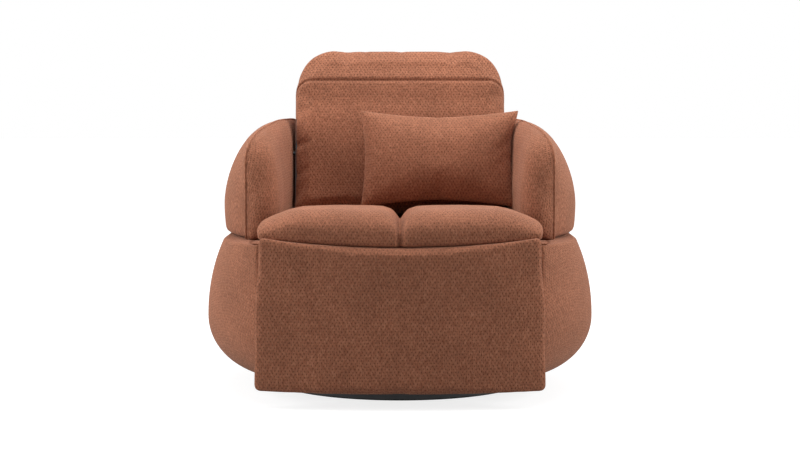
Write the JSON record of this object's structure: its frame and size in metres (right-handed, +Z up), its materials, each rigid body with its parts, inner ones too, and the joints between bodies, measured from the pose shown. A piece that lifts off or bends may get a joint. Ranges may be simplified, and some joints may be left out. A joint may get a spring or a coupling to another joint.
{
  "type": "swivel power recliner",
  "caption": "Round tub swivel recliner on a low plinth, with powered gliding seat, reclining back, fold-out footrest and a loose lumbar pillow.",
  "frame": {"origin": "on the floor, on the swivel axis, at the centre of the plinth's underside", "axes": "+Z up along the swivel axis, -Y to the front where the footrest opens, +X to the right seen from the front"},
  "size_m": [1.0379, 1.0089, 0.8962],
  "materials": {
    "chenille": "rust brown chenille knit with small darker dots",
    "plinth_black": "satin black",
    "black_steel": "semi-gloss black",
    "zinc_steel": "zinc plated",
    "plywood": "raw birch plywood",
    "webbing": "woven elastic webbing",
    "black_plastic": "fine moulded texture",
    "nylon": "natural nylon",
    "button_grey": "satin grey",
    "pad_rubber": "matt black rubber"
  },
  "bodies": {
    "base": {"floor_pad": "pad_rubber", "base_plinth": "plinth_black", "bearing_lower_race": "zinc_steel", "bearing_balls": "zinc_steel", "swivel_bolt": "zinc_steel", "base_screws": "zinc_steel"},
    "chassis": {"bearing_upper_race": "zinc_steel", "deck_board": "plywood", "deck_screws": "zinc_steel", "tub_frame": "plywood", "tub_cover": "chenille", "arm_rail": "plywood", "left_arm": "chenille", "right_arm": "chenille", "rear_wrap": "chenille", "frame_sides": "plywood", "front_cross_rail": "plywood", "rear_cross_rail": "plywood", "glide_rails": "zinc_steel", "recline_motor": "black_plastic", "recline_tube": "zinc_steel", "control_box": "black_plastic", "power_inlet": "black_plastic", "control_panel": "black_plastic", "guide_posts": "black_steel"},
    "recline_button": {"recline_button": "button_grey"},
    "return_button": {"return_button": "button_grey"},
    "carriage": {"carriage_plates": "black_steel", "carriage_tubes": "black_steel", "glide_shoes": "nylon", "seat_frame": "plywood", "seat_front_board": "plywood", "seat_webbing": "webbing", "seat_cushion": "chenille", "recline_rod": "zinc_steel", "legrest_motor": "black_plastic", "legrest_tube": "zinc_steel", "footrest_pivot_pins": "zinc_steel", "back_hinge_pins": "zinc_steel"},
    "legrest_rod": {"legrest_rod": "zinc_steel"},
    "upper_links": {"upper_links": "black_steel", "torque_tube": "black_steel", "knee_pins": "zinc_steel"},
    "lower_links": {"lower_links": "black_steel", "panel_pins": "zinc_steel"},
    "footrest_panel": {"footrest_cushion": "chenille", "footrest_board": "plywood", "footrest_brackets": "black_steel"},
    "back": {"back_cushion": "chenille", "back_panel": "chenille", "back_frame": "plywood", "back_webbing": "webbing", "back_plates": "black_steel"},
    "pillow": {"lumbar_pillow": "chenille"}
  },
  "joints": [
    {"name": "swivel", "type": "hinge", "parent": "base", "child": "chassis", "pos_m": [0, 0, 0.0555], "axis": [0, 0, 1], "continuous": true},
    {"name": "recline_button_press", "type": "slide", "parent": "chassis", "child": "recline_button", "axis": [-0.9272, -0.3746, 0], "range_m": [0, 0.0015], "stiffness_N_per_m": 400, "springref_m": -0.001},
    {"name": "return_button_press", "type": "slide", "parent": "chassis", "child": "return_button", "axis": [-0.9272, -0.3746, 0], "range_m": [0, 0.0015], "stiffness_N_per_m": 400, "springref_m": -0.001},
    {"name": "recline_glide", "type": "slide", "parent": "chassis", "child": "carriage", "axis": [0, -1, 0], "range_m": [0, 0.11]},
    {"name": "back_recline", "type": "hinge", "parent": "carriage", "child": "back", "pos_m": [0, 0.1, 0.41], "axis": [-1, 0, 0], "range_deg": [0, 25]},
    {"name": "footrest_open", "type": "hinge", "parent": "carriage", "child": "upper_links", "pos_m": [0, -0.28, 0.345], "axis": [-1, 0, 0], "range_deg": [0, 65]},
    {"name": "footrest_knee", "type": "hinge", "parent": "upper_links", "child": "lower_links", "pos_m": [0, -0.33, 0.112], "axis": [1, 0, 0], "range_deg": [0, 125]},
    {"name": "footrest_tilt", "type": "hinge", "parent": "lower_links", "child": "footrest_panel", "pos_m": [0, -0.41, 0.33], "axis": [-1, 0, 0], "range_deg": [0, 150]},
    {"name": "legrest_drive", "type": "slide", "parent": "carriage", "child": "legrest_rod", "axis": [0, -1, 0], "range_m": [0, 0.0753]},
    {"name": "pillow_lift", "type": "slide", "parent": "back", "child": "pillow", "axis": [0, 0.225, 0.9744], "range_m": [0, 0.25]}
  ],
  "couplings": [
    {"joint": "back_recline", "follows": "recline_glide", "rad_per_m": 3.966},
    {"joint": "footrest_knee", "follows": "footrest_open", "ratio": 1.923},
    {"joint": "footrest_tilt", "follows": "footrest_open", "ratio": 2.3076},
    {"joint": "legrest_drive", "follows": "footrest_open", "m_per_rad": 0.066306}
  ]
}
